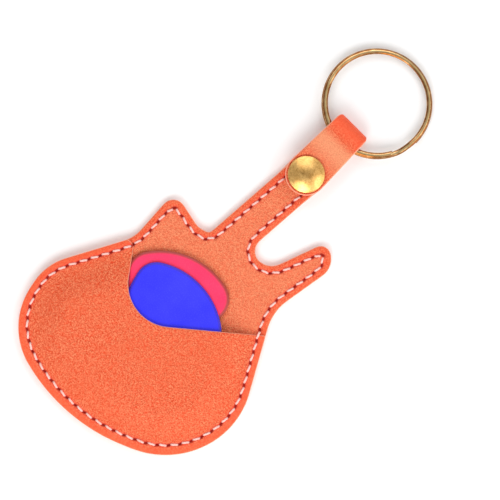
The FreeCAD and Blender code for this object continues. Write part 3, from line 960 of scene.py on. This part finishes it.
def ring_piece(bronze):
    """Wire wound twice round, with the step between its two coils, the upper coil a little smaller."""
    points = cad_triangles("split_ring")[0]
    pivot = np.array(SWING["pos_m"]) / MM
    across = np.array(SWING["axis"])
    out = (points.min(0) + points.max(0)) / 2 - pivot
    out -= across * (out @ across)
    out /= np.linalg.norm(out)
    up = np.cross(across, out)
    reach = (points - pivot) @ out
    wire = 2 * -float(reach.min())
    radius = (float(reach.max()) - wire / 2) / 2
    centre = pivot + out * radius
    height = (points - centre) @ up
    stack = float(height.max() - height.min())
    coil = stack / 2 - 0.025
    lift = (stack - coil) / 2
    away = np.stack([(points - centre) @ across, (points - centre) @ out], -1)
    step_start, step_end = ring_step(away, height)
    sweep_angle = 360 - (step_end - step_start) - COIL_END_GAP
    degrees = np.linspace(step_start - sweep_angle, step_end + sweep_angle, RING_STEPS + 1)
    level = 2 * ramp(degrees, step_start, step_end)[:, None] - 1
    turns = np.radians(degrees)[:, None]
    round_ring = across * np.cos(turns) + out * np.sin(turns)
    path = centre + round_ring * (radius - COIL_OFFSET * level) + up * lift * level
    sides = np.linspace(0, 2 * math.pi, WIRE_SIDES, endpoint=False)
    section = np.stack([np.cos(sides), np.sin(sides)], -1)
    verts, faces = sweep(path, up, section * [wire / 2, coil / 2])
    # Painted highlight bands across the wire: bright along the middle of its face, dark either side, paler
    # again at its edges.
    wear = 0.5 + 0.5 * np.cos(4.6 * section[:, 0])
    piece = make_object("split_ring_wire", verts, faces, {"wear": np.tile(wear, RING_STEPS + 1)})
    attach(piece, "key_ring")
    finish_piece(piece, "bronze_wire", bronze, "split_ring")


# ---------------------------------------------------------------- picks


def pick_piece(name, node, slot, tones):
    """A pick with a long bevel round its upper face, polished over its edge."""
    low, high = box_mm(node)
    outline = resample(upper_outlines(node)[0], 0.3)
    middle = hex_points(outline.min(0), outline.max(0), 0.9)
    middle = middle[line_distance(middle, outline) > 1.9]
    rings = [outline - outward(outline) * shift for shift in (0.35, 0.6, 0.85, 1.1, 1.35)]
    extra = np.vstack([middle] + [ring[::2] for ring in rings])

    def top(points):
        return high[2] - PICK_FALL * (1 - ramp(line_distance(points, outline), -0.35, PICK_BEVEL))

    piece = sheet_piece(name, outline, extra, top, lambda p: np.full(len(p), low[2]), edge=0.16)
    flat = np.array([v.co[:2] for v in piece.data.vertices]) / MM
    # How much painted shade the rim takes: 1 at the very edge, 0 a little over a millimetre in.
    rim = 1 - ramp(line_distance(flat, outline), 0.2, 1.15)
    piece.data.attributes["edge"].data.foreach_set("value", rim.astype(np.float32))
    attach(piece, node)
    finish_piece(piece, slot, celluloid_material(slot, *tones), node)


# ---------------------------------------------------------------- stage


FLOOR_REACH = 1.6
CAMERA_HEIGHT = 0.62
FOCUS_HEIGHT = 0.003
FRAME_WIDTH = 0.1351
NECK_ANGLE = 41.05
LOOK_AT = (5.38 * MM, 27.93 * MM)


def stage_scene():
    """The floor, the lights, and a camera straight above that sees the neck point up and to the right."""
    corners = np.array([(-1, -1, 0), (1, -1, 0), (1, 1, 0), (-1, 1, 0)]) * FLOOR_REACH / MM
    floor = make_object("floor", corners, [[0, 1, 2, 3]])
    floor.data.materials.append(floor_material())

    data = bpy.data.cameras.new("camera")
    data.sensor_width = 36.0
    data.lens = data.sensor_width * (CAMERA_HEIGHT - FOCUS_HEIGHT) / FRAME_WIDTH
    camera = bpy.data.objects.new("camera", data)
    camera.location = (*LOOK_AT, CAMERA_HEIGHT)
    camera.rotation_euler = (0, 0, math.radians(90 - NECK_ANGLE))
    bpy.context.scene.collection.objects.link(camera)
    bpy.context.scene.camera = camera

    bpy.context.scene.world = studio_world()
    bpy.context.scene.view_settings.view_transform = "Standard"
    # name, place, width and power
    lamps = [
        ("key", (0.24, -0.34, 0.42), 0.4, 2.0),
        ("upper_left", (-0.36, 0.34, 0.42), 0.5, 1.1),
        ("low", (0.40, 0.18, 0.36), 0.4, 0.7),
    ]
    for name, place, width, power in lamps:
        light = bpy.data.lights.new(name, "AREA")
        light.size = width
        light.energy = power
        lamp = bpy.data.objects.new(name, light)
        lamp.location = place
        lamp.rotation_euler = (Vector((*LOOK_AT, 0)) - Vector(place)).to_track_quat("-Z", "Y").to_euler()
        bpy.context.scene.collection.objects.link(lamp)


def studio_world():
    """Soft white all round: brighter towards +X, dimmer straight up, so that metal shows its shape."""
    world = bpy.data.worlds.new("studio")
    world.use_nodes = True
    tree = world.node_tree
    add = tree.nodes.new
    where = add("ShaderNodeTexCoord").outputs["Generated"]
    dot = add("ShaderNodeVectorMath")
    dot.operation = "DOT_PRODUCT"
    dot.inputs[1].default_value = (0.22, 0.08, 0.0)
    tree.links.new(where, dot.inputs[0])
    split = add("ShaderNodeSeparateXYZ")
    tree.links.new(where, split.inputs[0])
    zenith = add("ShaderNodeMapRange")
    zenith.interpolation_type = "SMOOTHSTEP"
    for key, value in (("From Min", 0.8), ("From Max", 1.0), ("To Min", 0.68), ("To Max", 0.36)):
        zenith.inputs[key].default_value = value
    tree.links.new(split.outputs["Z"], zenith.inputs["Value"])
    total = add("ShaderNodeMath")
    tree.links.new(zenith.outputs[0], total.inputs[0])
    tree.links.new(dot.outputs["Value"], total.inputs[1])
    tree.links.new(total.outputs[0], tree.nodes["Background"].inputs["Strength"])
    tree.nodes["Background"].inputs["Color"].default_value = (1, 1, 1, 1)
    return world


def main():
    stage_scene()
    leather, thread, brass = leather_material(), thread_material(), brass_material()
    lining_piece(leather)
    pocket_piece(leather)
    strap_piece(leather)
    thread_piece("upper_stitches", UPPER_BARS, thread, "upper_thread", under=False)
    thread_piece("bobbin_stitches", LOWER_BARS, thread, "bobbin_thread", under=True)
    cap_piece(brass)
    turned_pieces(brass)
    spring = frame["nodes"]["snap_spring"]
    spring.data.materials.clear()
    spring.data.materials.append(steel_material())
    ring_piece(ring_material())
    pick_piece("front_pick_blade", "front_pick", "blue_celluloid", BLUE)
    pick_piece("back_pick_blade", "back_pick", "pink_celluloid", PINK)


main()
